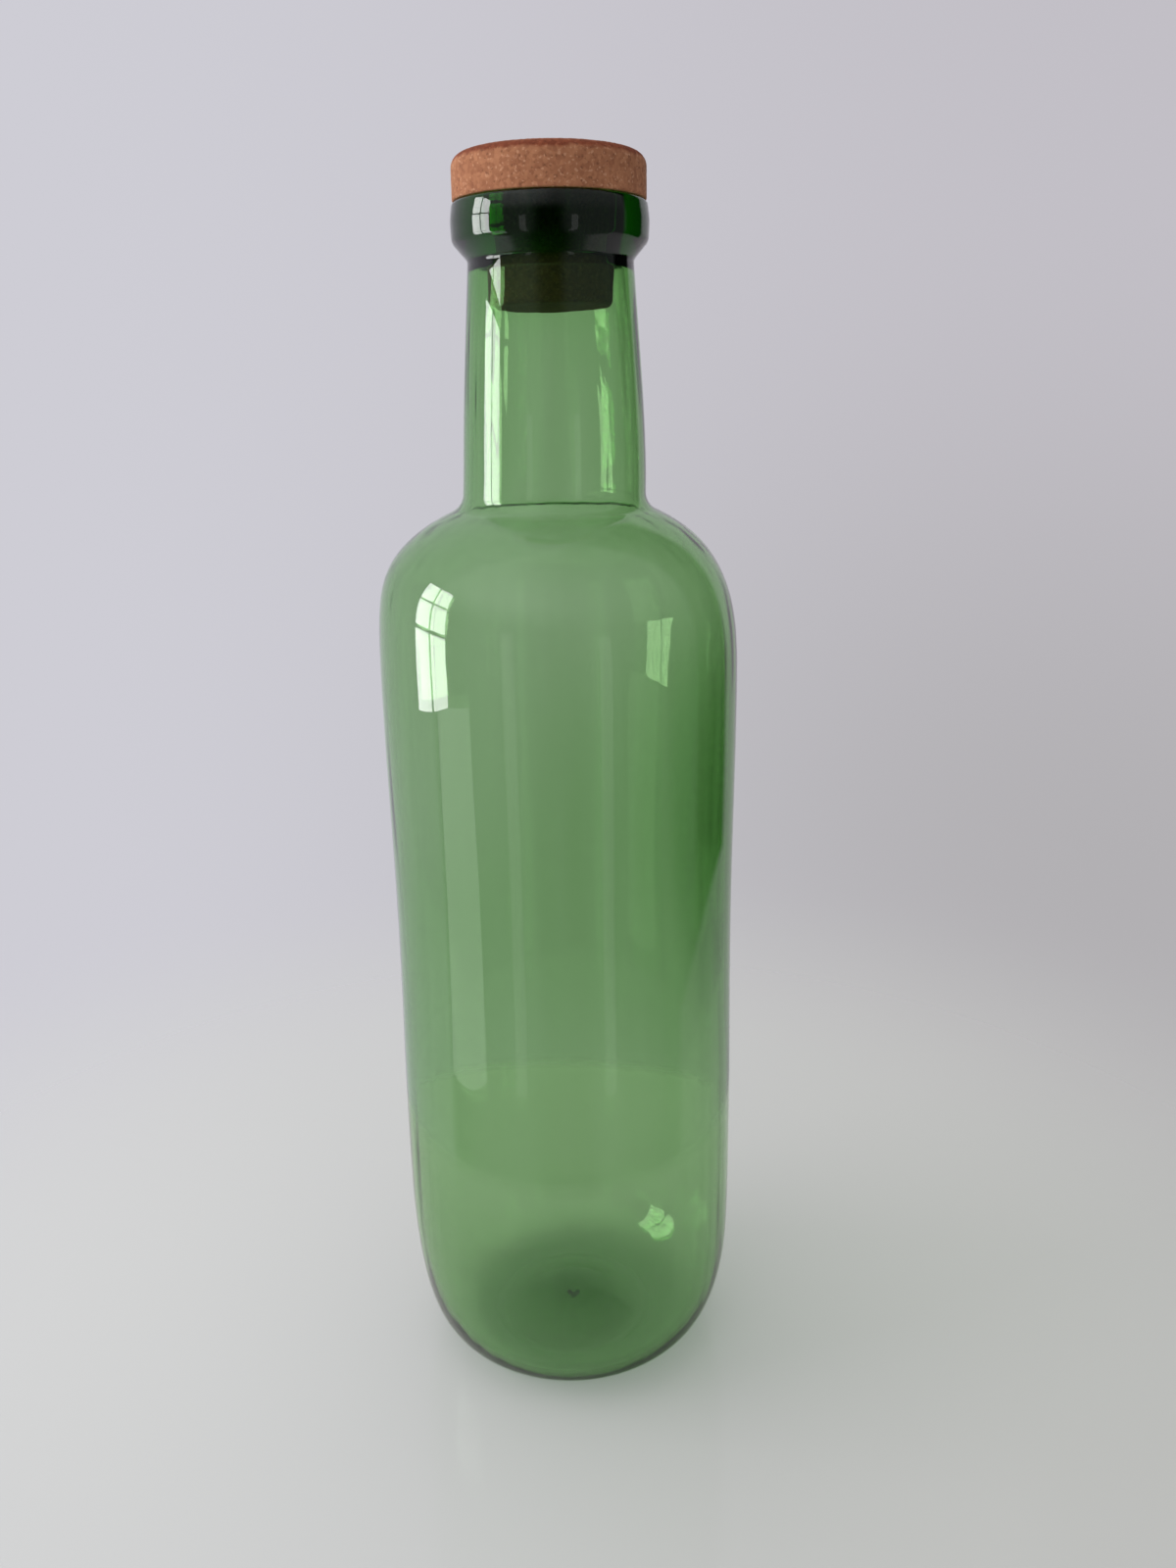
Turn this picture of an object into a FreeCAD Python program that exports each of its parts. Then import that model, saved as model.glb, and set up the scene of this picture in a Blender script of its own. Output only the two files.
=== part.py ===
import FreeCAD, Part

import math
import os

from FreeCAD import Vector

# A one-litre round glass bottle closed by a T-shaped cork stopper.
# Millimetres, +Z up, origin at the centre of the foot. Both pieces are solids
# of revolution about Z, so a profile is a list of edges in the X-Z plane and a
# point of it is written (radius, height).

# Bottle, outside
BOTTLE_HEIGHT = 290.7        # foot to sealing face
BODY_RADIUS = 43.35          # widest: above the heel, and again below the shoulder
WAIST_DEPTH = 0.5            # how far the middle of the body draws in
HEEL_WIDTH = 21.35           # standing ring out to the body
HEEL_HEIGHT = 63.0           # standing surface up to the top of the long heel curve
FOOT_WIDTH = 2.5             # of the flat standing ring
SHOULDER_RISE = 45.0         # body up to the neck root
SHOULDER_SLOPE = 25.0        # degrees below level at the neck root
NECK_HEIGHT = 53.5           # neck root up to the lip
NECK_SPREAD = 2.75           # how much wider the neck is at its root than under the lip
NECK_ROOT_FILLET = 4.5
NECK_TOP_SLOPE = 3.8         # degrees off plumb under the lip
LIP_HEIGHT = 12.2            # neck up to the sealing face
LIP_UNDERSIDE = 3.8          # height of the sloping underside
LIP_CREST = 4.0              # sealing face down to the widest place
LIP_LOWER_DRAW = 0.25        # how far the lower edge lies inside the crest
LIP_UPPER_DRAW = 0.55        # how far the upper edge lies inside the crest
LIP_NECK_FILLET = 1.5
LIP_LOWER_ROUND = 2.6
LIP_CREST_ROUND = 14.0
LIP_UPPER_ROUND = 1.3

# Bottle, inside
WALL = 2.2                   # neck, shoulder and body
COLLAR_WALL = 7.5            # bore out to the crest of the lip
BORE_RADIUS = 14.75
BORE_LENGTH = 10.7           # sealing face down to the end of the thick collar
BORE_STEP_WIDTH = 1.7        # bore out to the inside of the neck
BORE_STEP_HEIGHT = 3.6
BORE_STEP_ROUND = 2.4
MOUTH_ROUND = 0.8
INNER_HEEL_WIDTH = 19.15     # floor out to the inside of the body
FLOOR_THICKNESS = 5.0        # at the centre
FLOOR_CROWN = 5.3            # rise of the floor towards its centre
PUNT_HEIGHT = 3.0            # rise of the underside towards its centre
PIP_RADIUS = 1.8             # mould pip at the centre of the underside
PIP_DEPTH = 0.8

# Cork stopper
HEAD_INSET = 0.15            # how far the head lies inside the lip's upper edge
HEAD_HEIGHT = 9.5
HEAD_UPPER_ROUND = 2.8
HEAD_LOWER_ROUND = 0.4
PLUG_LENGTH = 21.8
PLUG_TAPER = 0.5             # radius lost from the head down to the tip
PLUG_TIP_ROUND = 1.6
PLUG_CLEARANCE = 0.15        # radial, between the plug's root and the bore

# Handles of the curves, as shares of the radial or vertical span they bridge
HEEL_FOOT_HANDLE = 1.0
HEEL_BODY_HANDLE = 0.65
INNER_HEEL_FLOOR_HANDLE = 1.0
INNER_HEEL_BODY_HANDLE = 0.65
WAIST_HANDLE = 0.4
SHOULDER_BODY_HANDLE = 0.485
SHOULDER_NECK_HANDLE = 0.985
NECK_ROOT_HANDLE = 0.33
NECK_TOP_HANDLE = 0.29
FLOOR_HANDLE = 0.45

# Radii and heights that follow from the sizes above
INNER_NECK_RADIUS = BORE_RADIUS + BORE_STEP_WIDTH
NECK_TOP_RADIUS = INNER_NECK_RADIUS + WALL
NECK_ROOT_RADIUS = NECK_TOP_RADIUS + NECK_SPREAD
LIP_RADIUS = BORE_RADIUS + COLLAR_WALL
LIP_UPPER_RADIUS = LIP_RADIUS - LIP_UPPER_DRAW
FOOT_RADIUS = BODY_RADIUS - HEEL_WIDTH
FLOOR_RADIUS = BODY_RADIUS - WALL - INNER_HEEL_WIDTH
NECK_TOP = BOTTLE_HEIGHT - LIP_HEIGHT
NECK_ROOT = NECK_TOP - NECK_HEIGHT
SHOULDER_BASE = NECK_ROOT - SHOULDER_RISE


def edge(start, end):
    """Straight edge of a profile."""
    return Part.LineSegment(Vector(start[0], 0, start[1]), Vector(end[0], 0, end[1])).toShape()


def bezier(*poles):
    """Curved edge of a profile, a Bezier curve with these poles."""
    curve = Part.BezierCurve()
    curve.setPoles([Vector(radius, 0, height) for radius, height in poles])
    return curve.toShape()


def blend(start, end, start_handle, end_handle, start_level):
    """Curved edge that starts level or plumb and ends the other way.

    The handles are shares of the span from start to end.
    """
    across, up = end[0] - start[0], end[1] - start[1]
    if start_level:
        return bezier(start, (start[0] + start_handle * across, start[1]),
                      (end[0], end[1] - end_handle * up), end)
    return bezier(start, (start[0], start[1] + start_handle * up),
                  (end[0] - end_handle * across, end[1]), end)


def level_wave(start, end, handle):
    """S-shaped edge that is level at both ends."""
    reach = handle * (end[0] - start[0])
    return bezier(start, (start[0] + reach, start[1]), (end[0] - reach, end[1]), end)


def plumb_wave(start, end, handle):
    """S-shaped edge that is plumb at both ends."""
    reach = handle * (end[1] - start[1])
    return bezier(start, (start[0], start[1] + reach), (end[0], end[1] - reach), end)


def round_corner(before, corner, after, radius):
    """Arc that rounds the corner between two straight runs: its start, its edge and its end."""
    here = Vector(corner[0], 0, corner[1])
    back = (Vector(before[0], 0, before[1]) - here).normalize()
    onward = (Vector(after[0], 0, after[1]) - here).normalize()
    half_angle = back.getAngle(onward) / 2
    setback = radius / math.tan(half_angle)
    bisector = (back + onward).normalize()
    start = here + back * setback
    middle = here + bisector * (radius / math.sin(half_angle) - radius)
    end = here + onward * setback
    return (start.x, start.z), Part.Arc(start, middle, end).toShape(), (end.x, end.z)


def rounded_path(points, radii):
    """Edges along straight runs through the points, each inner corner rounded by its radius."""
    edges = []
    reached = points[0]
    for before, corner, after, radius in zip(points, points[1:], points[2:], radii):
        start, arc, end = round_corner(before, corner, after, radius)
        edges += [edge(reached, start), arc]
        reached = end
    return edges + [edge(reached, points[-1])]


def turned(edges):
    """Solid of revolution about Z from the edges of a closed profile."""
    face = Part.Face(Part.Wire(edges))
    return face.revolve(Vector(0, 0, 0), Vector(0, 0, 1), 360)


def off_plumb(start, length):
    """Point a length up from start along the slope of the neck under the lip."""
    lean = math.radians(NECK_TOP_SLOPE)
    return start[0] - length * math.sin(lean), start[1] + length * math.cos(lean)


def side(inset, neck_end):
    """Edges of the wall from the top of the heel to neck_end, drawn in from the outside by inset."""
    slope = math.radians(SHOULDER_SLOPE)
    body = BODY_RADIUS - inset
    waist = (body - WAIST_DEPTH, (HEEL_HEIGHT + SHOULDER_BASE) / 2)
    root = (NECK_ROOT_RADIUS - inset,
            NECK_ROOT - inset * (1 - math.sin(slope)) / math.cos(slope))
    along_shoulder = (root[0] + math.cos(slope), root[1] - math.sin(slope))
    up_neck = (root[0], root[1] + 1)
    shoulder_end, fillet, neck_start = round_corner(
        along_shoulder, root, up_neck, NECK_ROOT_FILLET + inset)

    neck_run = SHOULDER_NECK_HANDLE * (body - shoulder_end[0])
    shoulder = bezier(
        (body, SHOULDER_BASE),
        (body, SHOULDER_BASE + SHOULDER_BODY_HANDLE * (shoulder_end[1] - SHOULDER_BASE)),
        (shoulder_end[0] + neck_run, shoulder_end[1] - neck_run * math.tan(slope)),
        shoulder_end)
    neck_span = neck_end[1] - neck_start[1]
    neck = bezier(
        neck_start,
        (neck_start[0], neck_start[1] + NECK_ROOT_HANDLE * neck_span),
        off_plumb(neck_end, -NECK_TOP_HANDLE * neck_span),
        neck_end)
    return [plumb_wave((body, HEEL_HEIGHT), waist, WAIST_HANDLE),
            plumb_wave(waist, (body, SHOULDER_BASE), WAIST_HANDLE),
            shoulder, fillet, neck]


def base():
    """Edges of the underside and the outside of the heel, from the axis outwards and up."""
    foot_inner = (FOOT_RADIUS - FOOT_WIDTH, 0)
    foot_outer = (FOOT_RADIUS, 0)
    pip_edge = (PIP_RADIUS, PUNT_HEIGHT)
    return [level_wave((0, PUNT_HEIGHT - PIP_DEPTH), pip_edge, FLOOR_HANDLE),
            level_wave(pip_edge, foot_inner, FLOOR_HANDLE),
            edge(foot_inner, foot_outer),
            blend(foot_outer, (BODY_RADIUS, HEEL_HEIGHT),
                  HEEL_FOOT_HANDLE, HEEL_BODY_HANDLE, start_level=True)]


def finish(outer_start, inner_end):
    """Edges of the lip, the sealing face, the bore and the step out to the inside of the neck."""
    neck = (NECK_TOP_RADIUS, NECK_TOP)
    lower = (LIP_RADIUS - LIP_LOWER_DRAW, NECK_TOP + LIP_UNDERSIDE)
    crest = (LIP_RADIUS, BOTTLE_HEIGHT - LIP_CREST)
    upper = (LIP_UPPER_RADIUS, BOTTLE_HEIGHT)
    mouth = (BORE_RADIUS, BOTTLE_HEIGHT)
    bore_end = (BORE_RADIUS, BOTTLE_HEIGHT - BORE_LENGTH)
    step_end = off_plumb(inner_end, BORE_STEP_ROUND)
    return rounded_path(
        [outer_start, neck, lower, crest, upper, mouth, bore_end, step_end, inner_end],
        [LIP_NECK_FILLET, LIP_LOWER_ROUND, LIP_CREST_ROUND, LIP_UPPER_ROUND,
         MOUTH_ROUND, BORE_STEP_ROUND, BORE_STEP_ROUND])


def floor():
    """Edges of the inside heel and the floor, from the body inwards to the axis."""
    centre = (0, PUNT_HEIGHT + FLOOR_THICKNESS)
    rim = (FLOOR_RADIUS, centre[1] - FLOOR_CROWN)
    return [blend((BODY_RADIUS - WALL, HEEL_HEIGHT), rim,
                  INNER_HEEL_BODY_HANDLE, INNER_HEEL_FLOOR_HANDLE, start_level=False),
            level_wave(rim, centre, FLOOR_HANDLE)]


def bottle():
    """Hollow glass bottle, one solid, open at the mouth."""
    neck_end = off_plumb((NECK_TOP_RADIUS, NECK_TOP), -2 * LIP_NECK_FILLET)
    inner_step = (INNER_NECK_RADIUS, BOTTLE_HEIGHT - BORE_LENGTH - BORE_STEP_HEIGHT)
    inner_neck_end = off_plumb(inner_step, -BORE_STEP_ROUND)
    inside = side(WALL, inner_neck_end)
    axis = edge((0, PUNT_HEIGHT + FLOOR_THICKNESS), (0, PUNT_HEIGHT - PIP_DEPTH))
    return turned(base() + side(0, neck_end) + finish(neck_end, inner_neck_end)
                  + inside[::-1] + floor() + [axis])


def stopper():
    """Cork with a wide head that seats on the sealing face and a tapered plug in the bore."""
    head_top = BOTTLE_HEIGHT + HEAD_HEIGHT
    head_radius = LIP_UPPER_RADIUS - HEAD_INSET
    plug_tip = BOTTLE_HEIGHT - PLUG_LENGTH
    plug_radius = BORE_RADIUS - PLUG_CLEARANCE
    upper = rounded_path(
        [(0, head_top), (head_radius, head_top), (head_radius, BOTTLE_HEIGHT),
         (plug_radius, BOTTLE_HEIGHT)],
        [HEAD_UPPER_ROUND, HEAD_LOWER_ROUND])
    lower = rounded_path(
        [(plug_radius, BOTTLE_HEIGHT), (plug_radius - PLUG_TAPER, plug_tip), (0, plug_tip)],
        [PLUG_TIP_ROUND])
    return turned(upper + lower + [edge((0, plug_tip), (0, head_top))])


def main():
    os.makedirs("parts", exist_ok=True)
    nodes = {"bottle": bottle(), "stopper": stopper()}
    for name, solid in nodes.items():
        solid.exportStep("parts/" + name + ".step")
        print(name, "valid", solid.isValid(), "solids", len(solid.Solids),
              "volume cm3 %.2f" % (solid.Volume / 1000))


main()
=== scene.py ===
"""An empty green glass bottle closed by a cork stopper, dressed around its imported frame."""

from __future__ import annotations

import logging
import math
from dataclasses import dataclass
from enum import Enum
from typing import Any, Callable

import bmesh
import bpy
from mathutils import Matrix, Vector, geometry, noise

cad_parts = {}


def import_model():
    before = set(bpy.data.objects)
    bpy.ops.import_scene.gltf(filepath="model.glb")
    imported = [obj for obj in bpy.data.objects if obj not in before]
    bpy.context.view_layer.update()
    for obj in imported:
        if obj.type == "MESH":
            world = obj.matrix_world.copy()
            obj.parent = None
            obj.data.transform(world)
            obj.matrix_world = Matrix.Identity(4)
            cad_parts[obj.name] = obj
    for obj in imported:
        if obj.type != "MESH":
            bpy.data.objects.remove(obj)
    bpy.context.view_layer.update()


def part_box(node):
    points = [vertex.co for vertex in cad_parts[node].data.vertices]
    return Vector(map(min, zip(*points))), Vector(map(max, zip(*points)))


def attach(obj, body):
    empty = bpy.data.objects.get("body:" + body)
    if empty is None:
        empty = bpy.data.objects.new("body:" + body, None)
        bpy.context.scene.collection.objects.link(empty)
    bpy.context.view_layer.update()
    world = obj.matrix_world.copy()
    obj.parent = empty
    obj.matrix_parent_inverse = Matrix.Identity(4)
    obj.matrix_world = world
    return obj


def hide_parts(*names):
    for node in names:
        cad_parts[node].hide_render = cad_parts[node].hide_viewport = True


LOG = logging.getLogger("bottle")
MM = 0.001
WELD_MM = 0.001  # points closer together than this are one point

Point = tuple[float, float]  # radius and height of a profile point, in millimetres
Outline = list[Point]


# ---------------------------------------------------------------- node helpers


class Seen(Enum):
    """Kinds of ray, by the Light Path outputs that tell them."""

    CAMERA = "Is Camera Ray"
    GLOSSY = "Is Glossy Ray"
    TRANSMITTED = "Is Transmission Ray"
    SHADOW = "Is Shadow Ray"
    DIFFUSE = "Is Diffuse Ray"


def linear(hex_colour: str) -> tuple[float, float, float, float]:
    """Turn an sRGB hex colour into linear RGBA.

    Args:
        hex_colour: Six hex digits, such as "a0b1c2".

    Returns:
        Red, green, blue and alpha, where alpha is 1.
    """
    values = [int(hex_colour[i:i + 2], 16) / 255 for i in (0, 2, 4)]
    curved = [v / 12.92 if v <= 0.04045 else ((v + 0.055) / 1.055) ** 2.4 for v in values]
    return (curved[0], curved[1], curved[2], 1.0)


def add_node(tree: bpy.types.NodeTree, kind: str, values: dict[Any, Any] | None = None,
             links: dict[Any, Any] | None = None, **settings: Any) -> bpy.types.Node:
    """Add a shader node with its settings, its socket values and its incoming links.

    Args:
        tree: Node tree that gets the node.
        kind: Blender's name of the node type.
        values: Default values by input name or number.
        links: Output sockets by the input name or number that they feed.
        settings: Attributes of the node itself.

    Returns:
        The new node.
    """
    node = tree.nodes.new(kind)
    for name, value in settings.items():
        setattr(node, name, value)
    for socket, value in (values or {}).items():
        node.inputs[socket].default_value = value
    for socket, source in (links or {}).items():
        tree.links.new(source, node.inputs[socket])
    return node


def combined(tree: bpy.types.NodeTree, operation: str, first: bpy.types.NodeSocket,
             second: bpy.types.NodeSocket) -> bpy.types.NodeSocket:
    """Socket with the result of a math operation on two values."""
    return add_node(tree, "ShaderNodeMath", links={0: first, 1: second},
                    operation=operation).outputs[0]


def between(tree: bpy.types.NodeTree, source: bpy.types.NodeSocket, ends: tuple[float, float],
            smooth: bool = False, full: float = 1.0) -> bpy.types.NodeSocket:
    """Socket that goes from 0 to full as its source goes from one end to the other.

    Args:
        tree: Node tree that gets the node.
        source: Socket with the value that counts.
        ends: Values of the source that give 0 and full.
        smooth: True if it starts and ends gently.
        full: Value from the second end on.

    Returns:
        The output socket.
    """
    return add_node(tree, "ShaderNodeMapRange", {1: ends[0], 2: ends[1], 4: full}, {0: source},
                    interpolation_type="SMOOTHSTEP" if smooth else "LINEAR").outputs[0]


def mixed(tree: bpy.types.NodeTree, share: bpy.types.NodeSocket,
          first: str | bpy.types.NodeSocket, second: str | bpy.types.NodeSocket,
          **settings: Any) -> bpy.types.NodeSocket:
    """Mix two colours, each a hex colour or a socket.

    Args:
        tree: Node tree that gets the node.
        share: Socket with the share of the second colour.
        first: Colour where the share is 0.
        second: Colour where the share is 1.
        settings: Attributes of the node itself.

    Returns:
        Socket with the colour.
    """
    colours = {6: first, 7: second}
    values = {slot: linear(colour) for slot, colour in colours.items() if isinstance(colour, str)}
    links = {slot: colour for slot, colour in colours.items() if slot not in values}
    return add_node(tree, "ShaderNodeMix", values, {0: share, **links},
                    data_type="RGBA", **settings).outputs[2]


def any_ray(tree: bpy.types.NodeTree, kinds: tuple[Seen, ...]) -> bpy.types.NodeSocket:
    """Socket that is 1 for the given kinds of ray and 0 for the others.

    Args:
        tree: Node tree that gets the nodes.
        kinds: Kinds of ray to tell.

    Returns:
        The output socket.
    """
    path = add_node(tree, "ShaderNodeLightPath")
    found = path.outputs[kinds[0].value]
    for kind in kinds[1:]:
        found = combined(tree, "MAXIMUM", found, path.outputs[kind.value])
    return found


def has_bounced(tree: bpy.types.NodeTree) -> bpy.types.NodeSocket:
    """Tell paths that were mirrored from those that go straight through clear glass.

    Args:
        tree: Node tree that gets the nodes.

    Returns:
        Socket that is 1 once the path was mirrored, and 0 before.
    """
    path = add_node(tree, "ShaderNodeLightPath")
    return add_node(tree, "ShaderNodeMath", {1: 1.0}, {0: path.outputs["Glossy Depth"]},
                    operation="MINIMUM").outputs[0]


def empty_material(name: str) -> bpy.types.Material:
    """Make a node material that has no nodes yet.

    Args:
        name: Name of the finish.

    Returns:
        The material.
    """
    material = bpy.data.materials.new(name)
    material.use_nodes = True
    material.node_tree.nodes.clear()
    return material


# ---------------------------------------------------------------- finishes


@dataclass(frozen=True)
class GreenGlass:
    """Soda-lime glass coloured green through its whole depth, moulded and fire-polished.

    The colour is in the volume, so a thin wall is pale and the lip and the floor are dark.
    Lamps shine through it, so its shadow on the floor is pale and tinted.
    """

    name: str = "green soda-lime glass"
    absorption: tuple[float, float, float] = (305.0, 144.0, 370.0)  # per metre of glass
    index: float = 1.52
    polish: float = 0.0
    lamp_tint: str = "eaf0e7"

    def build(self) -> bpy.types.Material:
        """Make the material.

        Returns:
            The material.
        """
        material = empty_material(self.name)
        tree = material.node_tree
        glass = add_node(tree, "ShaderNodeBsdfPrincipled", {
            "Base Color": (1.0, 1.0, 1.0, 1.0), "Roughness": self.polish,
            "IOR": self.index, "Transmission Weight": 1.0})
        open_way = add_node(tree, "ShaderNodeBsdfTransparent", {0: linear(self.lamp_tint)})
        straight = any_ray(tree, (Seen.SHADOW, Seen.DIFFUSE))
        surface = add_node(tree, "ShaderNodeMixShader", links={
            0: straight, 1: glass.outputs[0], 2: open_way.outputs[0]})
        density = max(self.absorption)
        kept = [1 - taken / density for taken in self.absorption]
        depth = add_node(tree, "ShaderNodeVolumeAbsorption", {
            "Color": (kept[0], kept[1], kept[2], 1.0), "Density": density})
        add_node(tree, "ShaderNodeOutputMaterial", links={
            "Surface": surface.outputs[0], "Volume": depth.outputs[0]})
        return material


@dataclass(frozen=True)
class GroundCork:
    """Agglomerated cork: bark granules pressed with a binder, turned and sanded.

    Matt and warm: granules of 0.5 to 1 mm in close browns, small pale dots, a few dark
    bark specks, a redder burnished band round the top edge, and a darker plug, which is
    painted shade where the head and the thick lip keep light off it, partly its own tone.
    Heights and the head's radius are in millimetres, as are the values named so.
    """

    top: float
    seat: float
    head_radius: float
    name: str = "sanded agglomerated cork"
    pale: str = "b57c5b"
    middle: str = "a26b4d"
    deep: str = "8e5a41"
    bark: str = "6b4330"
    dot: str = "c08e70"
    burnished: str = "c79f94"
    # painted shade: multiplied into the plug, which the head and the thick lip keep light off,
    # partly the plug's own darker tone
    plug_shade_and_tone: str = "8f8a80"
    granule_mm: float = 0.8
    fleck_mm: float = 0.42
    mottle_mm: float = 3.5
    grit_mm: float = 0.25
    band_mm: float = 2.0
    rim_mm: float = 3.5
    rim_end_mm: float = 1.0
    ragged_mm: float = 2.0
    ragged_reach_mm: float = 1.6
    band_blur_mm: float = 0.7
    # blur, at the seat, of the plug's painted shade
    plug_shade_blur_mm: float = 1.0
    grit_depth_mm: float = 0.1
    grit_strength: float = 0.5
    mottle_share: float = 0.55
    brown_places: tuple[float, float, float] = (0.15, 0.5, 0.85)
    bark_values: tuple[float, float] = (0.93, 0.97)
    bark_share: float = 0.5
    dot_values: tuple[float, float] = (0.10, 0.06)
    dot_share: float = 0.7
    roughness: float = 0.9
    gleam: float = 0.3

    def cells(self, tree: bpy.types.NodeTree, place: bpy.types.NodeSocket,
              size_mm: float) -> bpy.types.NodeSocket:
        """Random value of each granule.

        Args:
            tree: Node tree that gets the nodes.
            place: Socket with the position.
            size_mm: Size of a granule in millimetres.

        Returns:
            Socket with a value from 0 to 1.
        """
        grains = add_node(tree, "ShaderNodeTexVoronoi", {
            "Scale": 1 / (size_mm * MM), "Randomness": 1.0}, {"Vector": place})
        return add_node(tree, "ShaderNodeSeparateColor",
                        links={0: grains.outputs["Color"]}).outputs[0]

    def granules(self, tree: bpy.types.NodeTree,
                 place: bpy.types.NodeSocket) -> bpy.types.NodeSocket:
        """Browns of the granules, with pale dots and dark specks of bark.

        Args:
            tree: Node tree that gets the nodes.
            place: Socket with the position.

        Returns:
            Socket with the colour.
        """
        mottle = add_node(tree, "ShaderNodeTexNoise", {
            "Scale": 1 / (self.mottle_mm * MM), "Detail": 3.0}, {"Vector": place})
        value = add_node(tree, "ShaderNodeMix", {0: self.mottle_share}, {
            2: self.cells(tree, place, self.granule_mm), 3: mottle.outputs[0]})
        browns = add_node(tree, "ShaderNodeValToRGB", links={0: value.outputs[0]})
        deep, pale = browns.color_ramp.elements
        deep.position, middle_place, pale.position = self.brown_places
        deep.color, pale.color = linear(self.deep), linear(self.pale)
        browns.color_ramp.elements.new(middle_place).color = linear(self.middle)
        fleck = self.cells(tree, place, self.fleck_mm)
        is_bark = between(tree, fleck, self.bark_values, full=self.bark_share)
        barked = mixed(tree, is_bark, browns.outputs[0], self.bark)
        is_dot = between(tree, fleck, self.dot_values, full=self.dot_share)
        return mixed(tree, is_dot, barked, self.dot)

    def wear_and_plug_shade(self, tree: bpy.types.NodeTree, place: bpy.types.NodeSocket,
             colour: bpy.types.NodeSocket) -> bpy.types.NodeSocket:
        """Granule colour, redder round the top edge and darker down the plug; the plug's darkening
        is painted shade of the head and the thick lip, partly its own tone.

        Args:
            tree: Node tree that gets the nodes.
            place: Socket with the position.
            colour: Socket with the colour of the granules.

        Returns:
            Socket with the colour.
        """
        split = add_node(tree, "ShaderNodeSeparateXYZ", links={0: place})
        height = split.outputs[2]
        flat = add_node(tree, "ShaderNodeCombineXYZ",
                        links={0: split.outputs[0], 1: split.outputs[1]})
        reach = add_node(tree, "ShaderNodeVectorMath", links={0: flat.outputs[0]},
                         operation="LENGTH")
        rim = between(tree, reach.outputs["Value"], (
            (self.head_radius - self.rim_mm) * MM, (self.head_radius - self.rim_end_mm) * MM))
        ragged = add_node(tree, "ShaderNodeTexNoise", {
            "Scale": 1 / (self.ragged_mm * MM), "Detail": 4.0}, {"Vector": place})
        line = add_node(tree, "ShaderNodeMath", {1: self.ragged_reach_mm * MM}, {
            0: ragged.outputs[0], 2: height}, operation="MULTIPLY_ADD").outputs[0]
        edge = (self.top + self.ragged_reach_mm / 2) * MM
        band = between(tree, line, (
            edge - self.band_mm * MM, edge - (self.band_mm - self.band_blur_mm) * MM))
        reddened = mixed(tree, combined(tree, "MULTIPLY", band, rim), colour, self.burnished,
                         blend_type="MULTIPLY")
        # painted shade down the plug, where the head and the thick lip keep light off, partly the
        # plug's own darker tone
        plug = between(tree, height, (self.seat * MM, (self.seat - self.plug_shade_blur_mm) * MM))
        return mixed(tree, plug, reddened, self.plug_shade_and_tone, blend_type="MULTIPLY")

    def build(self) -> bpy.types.Material:
        """Make the material.

        Returns:
            The material.
        """
        material = empty_material(self.name)
        tree = material.node_tree
        place = add_node(tree, "ShaderNodeTexCoord").outputs["Object"]
        grit = add_node(tree, "ShaderNodeTexNoise", {
            "Scale": 1 / (self.grit_mm * MM), "Detail": 3.0, "Roughness": 0.6}, {"Vector": place})
        bump = add_node(tree, "ShaderNodeBump", {
            "Strength": self.grit_strength, "Distance": self.grit_depth_mm * MM},
            {"Height": grit.outputs[0]})
        body = add_node(tree, "ShaderNodeBsdfPrincipled", {
            "Roughness": self.roughness, "Specular IOR Level": self.gleam}, {
            "Base Color": self.wear_and_plug_shade(tree, place, self.granules(tree, place)),
            "Normal": bump.outputs[0]})
        add_node(tree, "ShaderNodeOutputMaterial", links={"Surface": body.outputs[0]})
        return material


# ---------------------------------------------------------------- profiles


def curve(start: Point, start_handle: Point, end_handle: Point, end: Point,
          steps: int) -> Outline:
    """Points along a cubic curve, its start left out."""
    knots = [Vector((p[0], p[1], 0.0)) for p in (start, start_handle, end_handle, end)]
    return [(p.x, p.y) for p in geometry.interpolate_bezier(*knots, steps + 1)[1:]]


def blend(start: Point, end: Point, handles: tuple[float, float], level_first: bool,
          steps: int) -> Outline:
    """Points along a curve that starts level or plumb and ends the other way.

    Args:
        start: First point, left out of the result.
        end: Last point.
        handles: Shares of the span that the handles at start and end bridge.
        level_first: True if the curve starts level.
        steps: Number of points.

    Returns:
        The points after start.
    """
    across, up = end[0] - start[0], end[1] - start[1]
    if level_first:
        return curve(start, (start[0] + handles[0] * across, start[1]),
                     (end[0], end[1] - handles[1] * up), end, steps)
    return curve(start, (start[0], start[1] + handles[0] * up),
                 (end[0] - handles[1] * across, end[1]), end, steps)


def wave(start: Point, end: Point, handle: float, level: bool, steps: int) -> Outline:
    """Points along an S-shaped curve that is level, or else plumb, at both ends.

    Args:
        start: First point, left out of the result.
        end: Last point.
        handle: Share of the span that each handle bridges.
        level: True if the ends are level.
        steps: Number of points.

    Returns:
        The points after start.
    """
    if level:
        reach = handle * (end[0] - start[0])
        return curve(start, (start[0] + reach, start[1]), (end[0] - reach, end[1]), end, steps)
    reach = handle * (end[1] - start[1])
    return curve(start, (start[0], start[1] + reach), (end[0], end[1] - reach), end, steps)


def rounded(before: Point, corner: Point, after: Point, radius: float,
            steps: int) -> Outline:
    """Points along the arc that rounds a corner between two straight runs.

    Args:
        before: A point on the run that reaches the corner.
        corner: Where the two runs meet.
        after: A point on the run that leaves the corner.
        radius: Radius of the arc.
        steps: Number of steps along the arc.

    Returns:
        The arc's points, both ends included.
    """
    here = Vector(corner)
    back = (Vector(before) - here).normalized()
    onward = (Vector(after) - here).normalized()
    half_angle = back.angle(onward) / 2
    centre = here + (back + onward).normalized() * (radius / math.sin(half_angle))
    setback = radius / math.tan(half_angle)
    first = (here + back * setback - centre).normalized()
    last = (here + onward * setback - centre).normalized()
    spokes = [centre + first.slerp(last, step / steps) * radius for step in range(steps + 1)]
    return [(point.x, point.y) for point in spokes]


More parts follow.
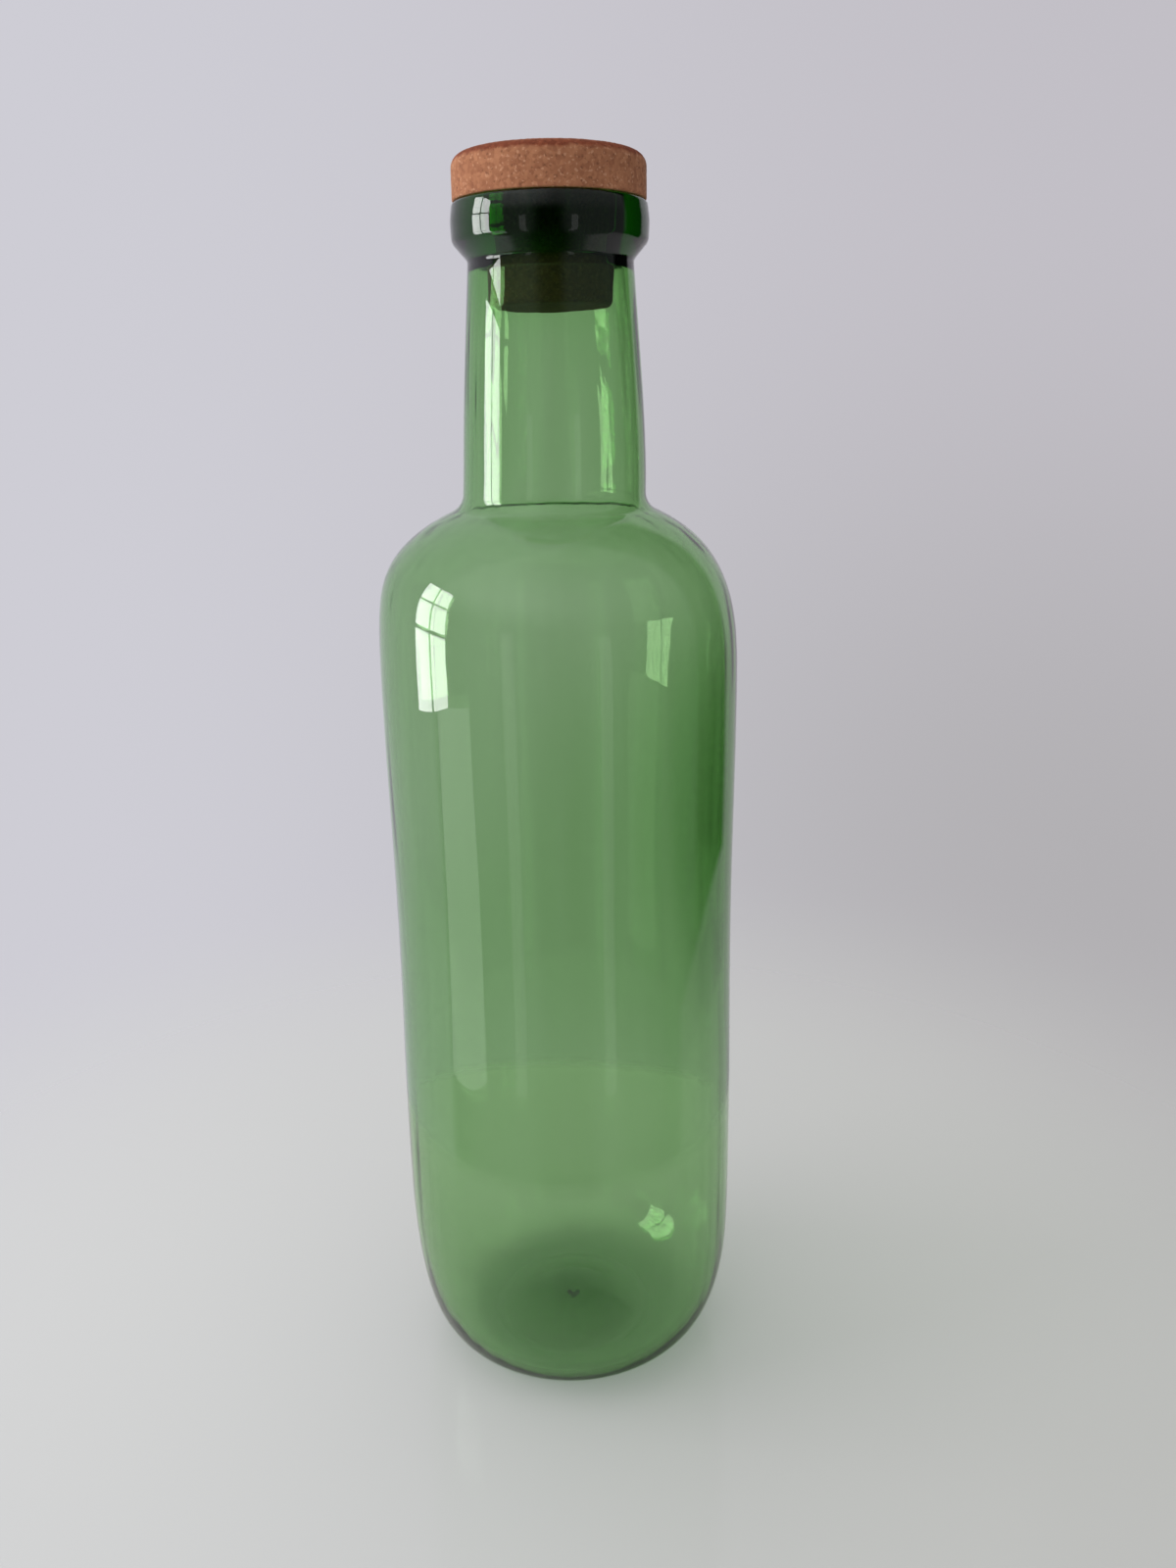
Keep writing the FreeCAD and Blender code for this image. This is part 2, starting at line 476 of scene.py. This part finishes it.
def rounded_path(corners: Outline, radii: list[float], steps: int) -> Outline:
    """Points along straight runs through the corners, each inner corner rounded.

    Args:
        corners: Ends and corners of the runs.
        radii: Radius of each inner corner.
        steps: Number of steps along each arc.

    Returns:
        The points, both ends included.
    """
    path = [corners[0]]
    for before, corner, after, radius in zip(corners, corners[1:], corners[2:], radii):
        path += rounded(before, corner, after, radius, steps)
    return path + [corners[-1]]


def evenly(path: Outline, spacing: float) -> Outline:
    """Add points to a path so that neighbours lie close enough together.

    Args:
        path: Points joined by straight runs.
        spacing: Widest gap between neighbours.

    Returns:
        The path with the points added.
    """
    dense = [path[0]]
    for start, end in zip(path, path[1:]):
        count = max(1, math.ceil(math.dist(start, end) / spacing))
        dense += [(start[0] + (end[0] - start[0]) * i / count,
                   start[1] + (end[1] - start[1]) * i / count) for i in range(1, count + 1)]
    return dense


def ramp(value: float, start: float, end: float) -> float:
    """Share, from 0 to 1, of the way from start to end that a value has come."""
    return min(1.0, max(0.0, (value - start) / (end - start)))


def turned(name: str, outline: Outline, around: int,
           shape: Callable[[bmesh.types.BMVert], Vector]) -> bpy.types.Object:
    """Turn an outline about the Z axis into a closed, smooth mesh.

    Args:
        name: Name of the new object.
        outline: Points from the axis out and back to the axis.
        around: Number of steps in the full turn.
        shape: Gives each vertex of the turned body, once its normal is known, its place.

    Returns:
        The object, linked to the scene.
    """
    body = bmesh.new()
    dots = [body.verts.new((radius * MM, 0.0, height * MM)) for radius, height in outline]
    lines = [body.edges.new(pair) for pair in zip(dots, dots[1:])]
    bmesh.ops.spin(body, geom=dots + lines, cent=(0, 0, 0), axis=(0, 0, 1),
                   angle=2 * math.pi, steps=around, use_merge=True)
    bmesh.ops.remove_doubles(body, verts=body.verts, dist=WELD_MM * MM)
    bmesh.ops.recalc_face_normals(body, faces=body.faces)
    body.normal_update()
    placed = [shape(vert) for vert in body.verts]
    for vert, place in zip(body.verts, placed):
        vert.co = place
    for face in body.faces:
        face.smooth = True
    mesh = bpy.data.meshes.new(name)
    body.to_mesh(mesh)
    body.free()
    made = bpy.data.objects.new(name, mesh)
    bpy.context.collection.objects.link(made)
    return made


# ---------------------------------------------------------------- the bottle


@dataclass(frozen=True)
class Swell:
    """Change of the wall that is largest at one height and fades out above and below.

    Sizes are in millimetres.
    """

    middle: float
    spread: float
    amount: float

    def at(self, height: float) -> float:
        """Size of the change at a height."""
        return self.amount * math.exp(-((height - self.middle) / self.spread) ** 2)


@dataclass(frozen=True)
class Steps:
    """Numbers of steps along the curves of the bottle's section and round its axis."""

    pip: int = 6
    punt: int = 18
    heel: int = 44
    waist: int = 14
    fillet: int = 14
    shoulder: int = 48
    neck: int = 24
    corner: int = 9
    around: int = 224


@dataclass
class Bottle:
    """Hollow glass bottle: foot, heel, waisted body, shoulder, neck and thick lip.

    Sizes are in millimetres. The height and the widest radius come from the frame.
    Handles are shares of the span that they bridge.
    """

    height: float
    body_radius: float
    waist_depth: float = 0.5
    heel_width: float = 21.35
    heel_height: float = 63.0
    foot_width: float = 2.5
    shoulder_rise: float = 45.0
    shoulder_slope: float = math.radians(25.0)
    neck_height: float = 53.5
    neck_spread: float = 2.75
    neck_root_fillet: float = 4.5
    neck_lean: float = math.radians(3.8)
    lip_height: float = 12.2
    lip_underside: float = 3.8
    lip_crest: float = 4.0
    lip_lower_draw: float = 0.25
    lip_upper_draw: float = 0.55
    lip_neck_fillet: float = 1.5
    lip_rounds: tuple[float, float, float] = (2.6, 14.0, 1.3)
    wall: float = 2.2
    collar_wall: float = 7.5
    bore_radius: float = 14.75
    bore_length: float = 10.7
    bore_step_width: float = 1.7
    bore_step_height: float = 3.6
    bore_step_round: float = 2.4
    mouth_round: float = 0.8
    inner_heel_width: float = 19.15
    inner_heel_handles: tuple[float, float] = (0.65, 1.0)
    floor_thickness: float = 5.0
    floor_crown: float = 5.3
    punt_height: float = 3.0
    pip_radius: float = 1.8
    pip_depth: float = 0.8
    punt_handle: float = 0.45
    heel_handles: tuple[float, float] = (1.0, 0.65)
    waist_handle: float = 0.4
    shoulder_handles: tuple[float, float] = (0.485, 0.985)
    neck_handles: tuple[float, float] = (0.33, 0.29)
    shoulder_lean: Swell = Swell(213.0, 13.0, 0.55)
    full_side: float = 2.4
    heel_lean: Swell = Swell(22.0, 16.0, 0.35)
    cavity_shift: Swell = Swell(145.0, 50.0, 0.5)
    ripple: float = 0.06
    ripple_widths: tuple[float, float] = (3.4, 1.3)
    ripple_length: float = 50.0
    ripple_rise: tuple[float, float] = (0.0, 45.0)
    neck_ripple: float = 1.2
    neck_ripple_rise: tuple[float, float] = (230.0, 250.0)
    broad_ripple: float = 1.4
    broad_width: float = 30.0
    draw: float = 0.28
    draw_rise: tuple[float, float] = (12.0, 22.0)
    draws: tuple[Swell, ...] = (Swell(250.0, 28.0, 0.05), Swell(205.0, 20.0, 0.38),
                                Swell(125.0, 25.0, -0.20), Swell(40.0, 75.0, 0.30))
    pad: float = 0.5
    pad_reach: float = 17.0
    pad_heights: tuple[float, float] = (20.0, 12.0)
    run: float = 0.55
    run_place: float = 0.82
    run_width: float = 0.12
    run_middle: float = 150.0
    run_reach: float = 38.0
    foot_top: float = 5.0
    floor_top: float = 20.0
    floor_facing: float = 0.2
    even_top: float = 4.0
    even_fade: float = 12.0
    steps: Steps = Steps()

    def up_neck(self, start: Point, length: float) -> Point:
        """Point a length up from start along the lean of the neck."""
        return (start[0] - length * math.sin(self.neck_lean),
                start[1] + length * math.cos(self.neck_lean))

    def base(self) -> Outline:
        """Underside and outside of the heel.

        Returns:
            The points from the axis outwards and up to the top of the heel.
        """
        centre = (0.0, self.punt_height - self.pip_depth)
        pip_edge = (self.pip_radius, self.punt_height)
        foot_outer = (self.body_radius - self.heel_width, 0.0)
        foot_inner = (foot_outer[0] - self.foot_width, 0.0)
        body = (self.body_radius, self.heel_height)
        return ([centre] + wave(centre, pip_edge, self.punt_handle, True, self.steps.pip)
                + wave(pip_edge, foot_inner, self.punt_handle, True, self.steps.punt) + [foot_outer]
                + blend(foot_outer, body, self.heel_handles, True, self.steps.heel))

    def side(self, inset: float, neck_end: Point) -> Outline:
        """Wall from the top of the heel to neck_end.

        Args:
            inset: How far inside the outer surface the wall's face lies.
            neck_end: Where the neck's curve ends.

        Returns:
            The points after the top of the heel.
        """
        slope = self.shoulder_slope
        neck_top = self.height - self.lip_height
        neck_root = neck_top - self.neck_height
        shoulder_base = neck_root - self.shoulder_rise
        body = self.body_radius - inset
        waist = (body - self.waist_depth, (self.heel_height + shoulder_base) / 2)
        root_radius = self.bore_radius + self.bore_step_width + self.wall + self.neck_spread
        root = (root_radius - inset,
                neck_root - inset * (1 - math.sin(slope)) / math.cos(slope))
        fillet = rounded((root[0] + math.cos(slope), root[1] - math.sin(slope)), root,
                         (root[0], root[1] + 1), self.neck_root_fillet + inset,
                         self.steps.fillet)
        rise = self.shoulder_handles[0] * (fillet[0][1] - shoulder_base)
        reach = self.shoulder_handles[1] * (body - fillet[0][0])
        shoulder = curve((body, shoulder_base), (body, shoulder_base + rise),
                         (fillet[0][0] + reach, fillet[0][1] - reach * math.tan(slope)),
                         fillet[0], self.steps.shoulder)
        span = neck_end[1] - fillet[-1][1]
        neck = curve(fillet[-1], (fillet[-1][0], fillet[-1][1] + self.neck_handles[0] * span),
                     self.up_neck(neck_end, -self.neck_handles[1] * span), neck_end,
                     self.steps.neck)
        waisted = (wave((body, self.heel_height), waist, self.waist_handle, False, self.steps.waist)
                   + wave(waist, (body, shoulder_base), self.waist_handle, False, self.steps.waist))
        return waisted + shoulder + fillet[1:] + neck

    def finish(self, outer_start: Point, inner_end: Point) -> Outline:
        """Lip, sealing face, bore and the step out to the inside of the neck.

        Args:
            outer_start: Where the outside of the neck ends.
            inner_end: Where the inside of the neck begins.

        Returns:
            The points after outer_start.
        """
        neck_top = self.height - self.lip_height
        neck_radius = self.bore_radius + self.bore_step_width + self.wall
        lip = self.bore_radius + self.collar_wall
        corners = [outer_start, (neck_radius, neck_top),
                   (lip - self.lip_lower_draw, neck_top + self.lip_underside),
                   (lip, self.height - self.lip_crest),
                   (lip - self.lip_upper_draw, self.height),
                   (self.bore_radius, self.height),
                   (self.bore_radius, self.height - self.bore_length),
                   self.up_neck(inner_end, self.bore_step_round), inner_end]
        radii = [self.lip_neck_fillet, *self.lip_rounds, self.mouth_round,
                 self.bore_step_round, self.bore_step_round]
        return rounded_path(corners, radii, self.steps.corner)[1:]

    def floor(self) -> Outline:
        """Inside of the heel and the floor.

        Returns:
            The points after the top of the heel, inwards to the axis.
        """
        inner = self.body_radius - self.wall
        centre = (0.0, self.punt_height + self.floor_thickness)
        rim = (inner - self.inner_heel_width, centre[1] - self.floor_crown)
        return (blend((inner, self.heel_height), rim, self.inner_heel_handles, False,
                      self.steps.heel)
                + wave(rim, centre, self.punt_handle, True, self.steps.punt))

    def outline(self) -> Outline:
        """The whole section, outside first.

        Returns:
            The points from the axis, over the lip and back to the axis.
        """
        neck_end = self.up_neck(
            (self.bore_radius + self.bore_step_width + self.wall,
             self.height - self.lip_height), -2 * self.lip_neck_fillet)
        step = (self.bore_radius + self.bore_step_width,
                self.height - self.bore_length - self.bore_step_height)
        inner_neck_end = self.up_neck(step, -self.bore_step_round)
        heel_top = (self.body_radius - self.wall, self.heel_height)
        inside = [heel_top] + self.side(self.wall, inner_neck_end)
        return (self.base() + self.side(0.0, neck_end)
                + self.finish(neck_end, inner_neck_end) + inside[::-1][1:] + self.floor())

    def is_inside(self, place: Vector, normal: Vector, outwards: Vector) -> bool:
        """Whether a surface point is on the inner face of the wall or on the inner floor."""
        return (place.z > self.foot_top and normal.dot(outwards) < 0) or (
            place.z < self.floor_top and normal.z > self.floor_facing)

    def ripples(self, place: Vector, outwards: Vector) -> float:
        """Depth of the broad unevenness and of the upright ripples of the inner face.

        Args:
            place: Surface point in millimetres.
            outwards: Level unit vector from the axis to the point.

        Returns:
            The depth, to the inside or the outside.
        """
        round_about = outwards.xy * place.xy.length
        depth = self.broad_ripple * self.ripple * noise.noise(place / self.broad_width)
        rough = self.ripple * (1.0 + self.neck_ripple * ramp(place.z, *self.neck_ripple_rise))
        for width in self.ripple_widths:
            upright = Vector((*(round_about / width), place.z / self.ripple_length))
            depth += rough * width / self.ripple_widths[0] * noise.noise(upright)
        return depth * ramp(place.z, *self.ripple_rise)

    def thinning(self, place: Vector) -> float:
        """How much thinner the drawn wall is, and how much thicker in the floor's middle.

        Args:
            place: Surface point in millimetres.

        Returns:
            What is taken off the inner face, below zero where glass is added.
        """
        thin = self.draw + sum(swell.at(place.z) for swell in self.draws)
        if place.z < self.floor_top:
            reach = place.xy.length
            thin *= ramp(reach, *self.draw_rise)
            low = ramp(place.z, *self.pad_heights)
            thin -= low * self.pad * math.exp(-(reach / self.pad_reach) ** 2)
        return thin

    def thick_run(self, place: Vector) -> float:
        """Glass that an upright, thicker run on one side of the body adds inside.

        Args:
            place: Surface point in millimetres.

        Returns:
            How much thicker the wall is there.
        """
        across = (place.x / self.body_radius - self.run_place) / self.run_width
        along = (place.z - self.run_middle) / self.run_reach
        return self.run * math.exp(-across ** 2 - along ** 4)

    def handmade(self, vert: bmesh.types.BMVert) -> Vector:
        """Place of a surface point once the wall is as uneven as free-blown glass.

        The shoulder is fuller on one side and the heel on the other. Inside, upright
        ripples run down the neck, and the wall is thinner where the glass was drawn most.

        Args:
            vert: Vertex of the turned bottle.

        Returns:
            Its place in metres.
        """
        place = vert.co / MM
        outwards = Vector((place.x, place.y, 0.0)).normalized()
        uneven_top = self.height - self.lip_height - self.even_top
        if place.z < uneven_top and self.is_inside(place, vert.normal, outwards):
            loose = ramp(place.z, uneven_top, uneven_top - self.even_fade)
            taken = self.ripples(place, outwards) + self.thinning(place) - self.thick_run(place)
            place -= vert.normal * loose * taken
            place.x -= self.cavity_shift.at(place.z)
        shoulder = self.shoulder_lean.at(place.z)
        heel = self.heel_lean.at(place.z)
        place.x += heel - shoulder * (1.0 if place.x > 0 else self.full_side)
        return place * MM

    def build(self, glass: bpy.types.Material) -> bpy.types.Object:
        """Turn the bottle and dress it in glass.

        Args:
            glass: Material of the whole bottle.

        Returns:
            The piece.
        """
        piece = turned("glass_bottle", self.outline(), self.steps.around, self.handmade)
        piece.data.materials.append(glass)
        return piece


# ---------------------------------------------------------------- the cork


@dataclass
class Stopper:
    """T-shaped cork: a wide head on the sealing face and a tapered plug in the bore.

    Sizes are in millimetres. Heights and the head's radius come from the frame.
    """

    tip: float
    seat: float
    top: float
    head_radius: float
    plug_radius: float = 14.6
    plug_taper: float = 0.5
    head_upper_round: float = 2.8
    head_lower_round: float = 0.4
    tip_round: float = 1.6
    granule: float = 1.0
    seam_depth: float = 0.05
    seam_sharpness: float = 4.0
    seat_margin: float = 0.01
    spacing: float = 0.4
    head_steps: int = 8
    tip_steps: int = 6
    around: int = 300

    def outline(self) -> Outline:
        """Section of the head and the plug.

        Returns:
            The points from the middle of the head to the middle of the plug's tip.
        """
        upper = rounded_path([(0.0, self.top), (self.head_radius, self.top),
                              (self.head_radius, self.seat), (self.plug_radius, self.seat)],
                             [self.head_upper_round, self.head_lower_round], self.head_steps)
        lower = rounded_path([(self.plug_radius, self.seat),
                              (self.plug_radius - self.plug_taper, self.tip),
                              (0.0, self.tip)], [self.tip_round], self.tip_steps)
        return evenly(upper + lower[1:], self.spacing)

    def sanded(self, vert: bmesh.types.BMVert) -> Vector:
        """Place of a surface point once the binder's seams are worn a little lower.

        Args:
            vert: Vertex of the turned stopper.

        Returns:
            Its place in metres.
        """
        near, _ = noise.voronoi(vert.co / (self.granule * MM))
        seam = max(0.0, 1.0 - self.seam_sharpness * (near[1] - near[0]))
        seated = abs(vert.co.z - self.seat * MM) < self.seat_margin * MM
        depth = 0.0 if seated else self.seam_depth * MM * seam
        return vert.co - vert.normal * depth

    def build(self, cork: bpy.types.Material) -> bpy.types.Object:
        """Turn the stopper, wear its surface and dress it in cork.

        Args:
            cork: Material of the whole stopper.

        Returns:
            The piece.
        """
        piece = turned("cork_stopper", self.outline(), self.around, self.sanded)
        piece.data.materials.append(cork)
        return piece


# ---------------------------------------------------------------- the studio


class Shine(Enum):
    """What a lamp does: light matt surfaces, or show as a highlight in gloss."""

    LIGHT = "light"
    GLOSS = "gloss"


@dataclass(frozen=True)
class Lamp:
    """Flat rectangular lamp. Metres; a radiance of 1 is white."""

    name: str
    place: tuple[float, float, float]
    aim: tuple[float, float, float]
    size: tuple[float, float]
    radiance: float
    shines_in: Shine = Shine.LIGHT

    def mirrored_only(self, tree: bpy.types.NodeTree) -> None:
        """Let the lamp show in reflections and not straight through the glass.

        Args:
            tree: Node tree of the lamp.
        """
        tree.nodes.clear()
        glow = add_node(tree, "ShaderNodeEmission", links={"Strength": has_bounced(tree)})
        add_node(tree, "ShaderNodeOutputLight", links={0: glow.outputs[0]})

    def build(self, receivers: bpy.types.Collection) -> None:
        """Hang the lamp.

        Args:
            receivers: Pieces whose gloss shows the lamp.
        """
        data = bpy.data.lights.new(self.name, "AREA")
        data.shape = "RECTANGLE"
        data.size, data.size_y = self.size
        data.energy = self.radiance * math.pi * self.size[0] * self.size[1]
        made = bpy.data.objects.new(self.name, data)
        made.location = self.place
        away = Vector(self.aim) - Vector(self.place)
        made.rotation_euler = away.to_track_quat("-Z", "Y").to_euler()
        made.visible_diffuse = self.shines_in is Shine.LIGHT
        made.visible_glossy = self.shines_in is Shine.GLOSS
        made.visible_transmission = self.shines_in is Shine.GLOSS
        if self.shines_in is Shine.GLOSS:
            data.use_nodes = True
            self.mirrored_only(data.node_tree)
            made.light_linking.receiver_collection = receivers
        bpy.context.collection.objects.link(made)


@dataclass
class Studio:
    """Pale floor and background, soft lamps and the camera.

    Lengths are in metres. Pairs that bound the background's zones are parts of the unit
    direction that is looked in: to the right, away from the camera, or up.
    """

    # painted light and shade: the backdrop is palest on the left and darkest low on the right, as a
    # wall lit from the left
    wall_left: str = "cecdd5"
    wall_right: str = "c2bfc6"
    wall_low: str = "b2b0b3"
    wall_up: tuple[float, float] = (-0.35, 0.15)
    wall_across: tuple[float, float] = (-0.4, 0.4)
    wall_away: tuple[float, float] = (-0.12, -0.04)
    front: str = "707674"
    front_middle: str = "181a19"
    front_aside: tuple[float, float] = (0.15, 0.45)
    ceiling: str = "a0a3a4"
    ceiling_left: str = "eef1f2"
    ceiling_up: tuple[float, float] = (0.15, 0.6)
    ceiling_across: tuple[float, float] = (0.1, -0.4)
    flag_depth: float = 0.74
    flag_across: tuple[float, float] = (0.0, 0.3)
    flag_up: tuple[float, float] = (-0.44, -0.34)
    flag_away: tuple[float, float] = (0.08, 0.18)
    table: str = "d3d4d0"
    table_size: float = 3.0
    table_roughness: float = 0.1
    table_index: float = 1.4
    near: float = 0.10
    far: float = 0.40
    thin_shadow: float = 0.35
    gloss_reach: tuple[float, float] = (0.135, 0.15)
    gloss_length: tuple[float, float] = (0.16, 0.22)
    bright_side: float = 1.15
    dim_side: float = 0.28
    slant: float = 0.9
    panes: tuple[float, float, float] = (-0.70, -0.09, 0.30)
    pane: tuple[float, float] = (0.15, 0.17)
    pane_gap: float = 0.018
    pane_radiance: float = 9.0
    slit: tuple[float, float, float] = (0.34, -0.61, 0.02)
    eye: tuple[float, float, float] = (0.00655, -0.30762, 0.24804)
    look_down: float = math.radians(16.67)
    roll: float = math.radians(0.89)
    lens: float = 29.25
    sensor_width: float = 36.0
    clip_start: float = 0.01

    def backdrop(self, tree: bpy.types.NodeTree,
                 split: bpy.types.Node) -> bpy.types.NodeSocket:
        """Background colour, palest on the left and darkest low on the right: painted light and
        shade of a wall lit from the left.

        Args:
            tree: Node tree that gets the nodes.
            split: Separate XYZ node of the direction that is looked in.

        Returns:
            Socket with the colour.
        """
        right = mixed(tree, between(tree, split.outputs[2], self.wall_up, smooth=True),
                      self.wall_low, self.wall_right)
        return mixed(tree, between(tree, split.outputs[0], self.wall_across, smooth=True),
                     self.wall_left, right)

    def gloss_colour(self, tree: bpy.types.NodeTree, split: bpy.types.Node,
                    wall: bpy.types.NodeSocket) -> bpy.types.NodeSocket:
        """What gloss shows: the pale backdrop behind, a dim front, a dark flag on the right.

        Args:
            tree: Node tree that gets the nodes.
            split: Separate XYZ node of the direction that is looked in.
            wall: Socket with the background colour.

        Returns:
            Socket with the colour.
        """
        right, away, up = split.outputs[0], split.outputs[1], split.outputs[2]
        flag = combined(tree, "MULTIPLY", between(tree, right, self.flag_across),
                        between(tree, up, self.flag_up))
        unlit = combined(tree, "MULTIPLY", flag, between(tree, away, self.flag_away))
        pushed_back = add_node(tree, "ShaderNodeMath", {1: -self.flag_depth},
                               {0: flag, 2: away}, operation="MULTIPLY_ADD").outputs[0]
        aside = add_node(tree, "ShaderNodeMath", links={0: right}, operation="ABSOLUTE").outputs[0]
        level = mixed(tree, between(tree, aside, self.front_aside, smooth=True),
                      self.front_middle, self.front)
        above = mixed(tree, between(tree, right, self.ceiling_across),
                      self.ceiling, self.ceiling_left)
        ahead = mixed(tree, between(tree, up, self.ceiling_up, smooth=True), level, above)
        flagged = mixed(tree, unlit, ahead, self.front_middle)
        return mixed(tree, between(tree, pushed_back, self.wall_away), flagged, wall)

    def world(self) -> None:
        """Background as it is seen, a dim front in gloss, and soft light from one side."""
        world = bpy.data.worlds.new("studio")
        world.use_nodes = True
        tree = world.node_tree
        tree.nodes.clear()
        direction = add_node(tree, "ShaderNodeTexCoord").outputs["Generated"]
        split = add_node(tree, "ShaderNodeSeparateXYZ", links={0: direction})
        wall = self.backdrop(tree, split)
        mirrored = self.gloss_colour(tree, split, wall)
        shown = mixed(tree, has_bounced(tree), wall, mirrored)
        seen = add_node(tree, "ShaderNodeBackground", {1: 1.0}, {0: shown})
        slant = add_node(tree, "ShaderNodeMapRange", {
            1: -self.slant, 2: self.slant, 3: self.bright_side, 4: self.dim_side},
            {0: split.outputs[0]})
        light = add_node(tree, "ShaderNodeBackground", {0: (1.0, 1.0, 1.0, 1.0)},
                         {1: slant.outputs[0]})
        mix = add_node(tree, "ShaderNodeMixShader", links={
            0: any_ray(tree, (Seen.CAMERA, Seen.GLOSSY, Seen.TRANSMITTED)),
            1: light.outputs[0], 2: seen.outputs[0]})
        add_node(tree, "ShaderNodeOutputWorld", links={0: mix.outputs[0]})
        bpy.context.scene.world = world

    def table_finish(self) -> bpy.types.Material:
        """Pale glossy table top that fades into the background as it gets further away.

        Returns:
            The material.
        """
        material = empty_material("back-painted glass table top")
        tree = material.node_tree
        place = add_node(tree, "ShaderNodeTexCoord").outputs["Object"]
        reach = add_node(tree, "ShaderNodeVectorMath", links={0: place}, operation="LENGTH")
        fade = add_node(tree, "ShaderNodeMapRange", {
            1: self.near, 2: self.far, 3: self.thin_shadow, 4: 1.0},
            {0: reach.outputs["Value"]}, interpolation_type="SMOOTHERSTEP")
        seen = combined(tree, "MULTIPLY", fade.outputs[0],
                        any_ray(tree, (Seen.CAMERA, Seen.TRANSMITTED)))
        length = add_node(tree, "ShaderNodeLightPath").outputs["Ray Length"]
        beyond = combined(tree, "MAXIMUM",
                          between(tree, reach.outputs["Value"], self.gloss_reach),
                          between(tree, length, self.gloss_length))
        mirrored = combined(tree, "MULTIPLY", beyond, any_ray(tree, (Seen.GLOSSY,)))
        amount = combined(tree, "MAXIMUM", seen, mirrored)
        top = add_node(tree, "ShaderNodeBsdfPrincipled", {
            "Base Color": linear(self.table), "Roughness": self.table_roughness,
            "IOR": self.table_index})
        gone = add_node(tree, "ShaderNodeBsdfTransparent")
        mix = add_node(tree, "ShaderNodeMixShader", links={
            0: amount, 1: top.outputs[0], 2: gone.outputs[0]})
        add_node(tree, "ShaderNodeOutputMaterial", links={0: mix.outputs[0]})
        return material

    def floor(self) -> None:
        """Flat pale surface that the bottle stands on."""
        body = bmesh.new()
        bmesh.ops.create_grid(body, x_segments=1, y_segments=1, size=self.table_size / 2)
        mesh = bpy.data.meshes.new("floor")
        body.to_mesh(mesh)
        body.free()
        top = bpy.data.objects.new("floor", mesh)
        top.data.materials.append(self.table_finish())
        bpy.context.collection.objects.link(top)

    def lamps(self, receivers: bpy.types.Collection) -> None:
        """Six lamp panes on the left, seen in the gloss, and soft lamps for the rest.

        Args:
            receivers: Pieces whose gloss shows the lamps.
        """
        step = (self.pane[0] + self.pane_gap, self.pane[1] + self.pane_gap)
        for column in range(2):
            for row in range(3):
                place = (self.panes[0], self.panes[1] + step[0] * (column - 0.5),
                         self.panes[2] + step[1] * (row - 1))
                Lamp(f"pane {column} {row}", place, aim=(0.0, place[1], place[2]),
                     size=self.pane, radiance=self.pane_radiance,
                     shines_in=Shine.GLOSS).build(receivers)
        for side in (-1, 1):
            Lamp(f"slit {side}", place=(side * self.slit[0], self.slit[1], self.slit[2]),
                 aim=(0.0, 0.0, self.slit[2]), size=(0.09, 0.58), radiance=0.4,
                 shines_in=Shine.GLOSS).build(receivers)
        Lamp("lit ground", place=(-0.62, -0.26, -0.10), aim=(0.0, 0.0, 0.14),
             size=(0.30, 0.28), radiance=0.9, shines_in=Shine.GLOSS).build(receivers)
        Lamp("side light", place=self.panes, aim=(0.0, 0.0, 0.17), size=(0.5, 0.7),
             radiance=2.6).build(receivers)
        Lamp("above", place=(-0.1, 0.1, 1.1), aim=(0.0, 0.0, 0.1), size=(0.8, 0.8),
             radiance=1.0).build(receivers)

    def camera(self) -> None:
        """Camera close to the bottle, looking down a little."""
        data = bpy.data.cameras.new("camera")
        data.lens = self.lens
        data.sensor_width = self.sensor_width
        data.clip_start = self.clip_start
        made = bpy.data.objects.new("camera", data)
        turn = (Matrix.Rotation(math.pi / 2 - self.look_down, 3, "X")
                @ Matrix.Rotation(-self.roll, 3, "Z"))
        made.rotation_euler = turn.to_euler()
        made.location = self.eye
        bpy.context.collection.objects.link(made)
        bpy.context.scene.camera = made

    def build(self, pieces: list[bpy.types.Object]) -> None:
        """Set up the background, the floor, the lamps and the camera.

        Args:
            pieces: Glossy pieces that the gloss lamps are for.
        """
        receivers = bpy.data.collections.new("gloss receivers")
        for piece in pieces:
            receivers.objects.link(piece)
        self.world()
        self.floor()
        self.lamps(receivers)
        self.camera()
        bpy.context.scene.view_settings.view_transform = "Standard"


# ---------------------------------------------------------------- main


def dress(piece: bpy.types.Object, node: str) -> None:
    """Let a piece stand for a node of the frame and ride with the whole part.

    Args:
        piece: Dressed piece.
        node: Name of the node that it replaces.
    """
    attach(piece, "root")
    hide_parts(node)
    LOG.info("%s stands for %s: %d faces", piece.name, node, len(piece.data.polygons))


def main() -> None:
    """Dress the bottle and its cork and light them."""
    logging.basicConfig(level=logging.INFO, format="%(message)s")
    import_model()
    bottle_low, bottle_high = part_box("bottle")
    cork_low, cork_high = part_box("stopper")

    bottle = Bottle(height=bottle_high[2] / MM, body_radius=bottle_high[0] / MM)
    glass_bottle = bottle.build(GreenGlass().build())
    dress(glass_bottle, "bottle")
    stopper = Stopper(tip=cork_low[2] / MM, seat=bottle_high[2] / MM, top=cork_high[2] / MM,
                      head_radius=cork_high[0] / MM)
    cork = GroundCork(stopper.top, stopper.seat, stopper.head_radius)
    cork_stopper = stopper.build(cork.build())
    dress(cork_stopper, "stopper")
    Studio().build([glass_bottle, cork_stopper])


if __name__ == "__main__":
    main()
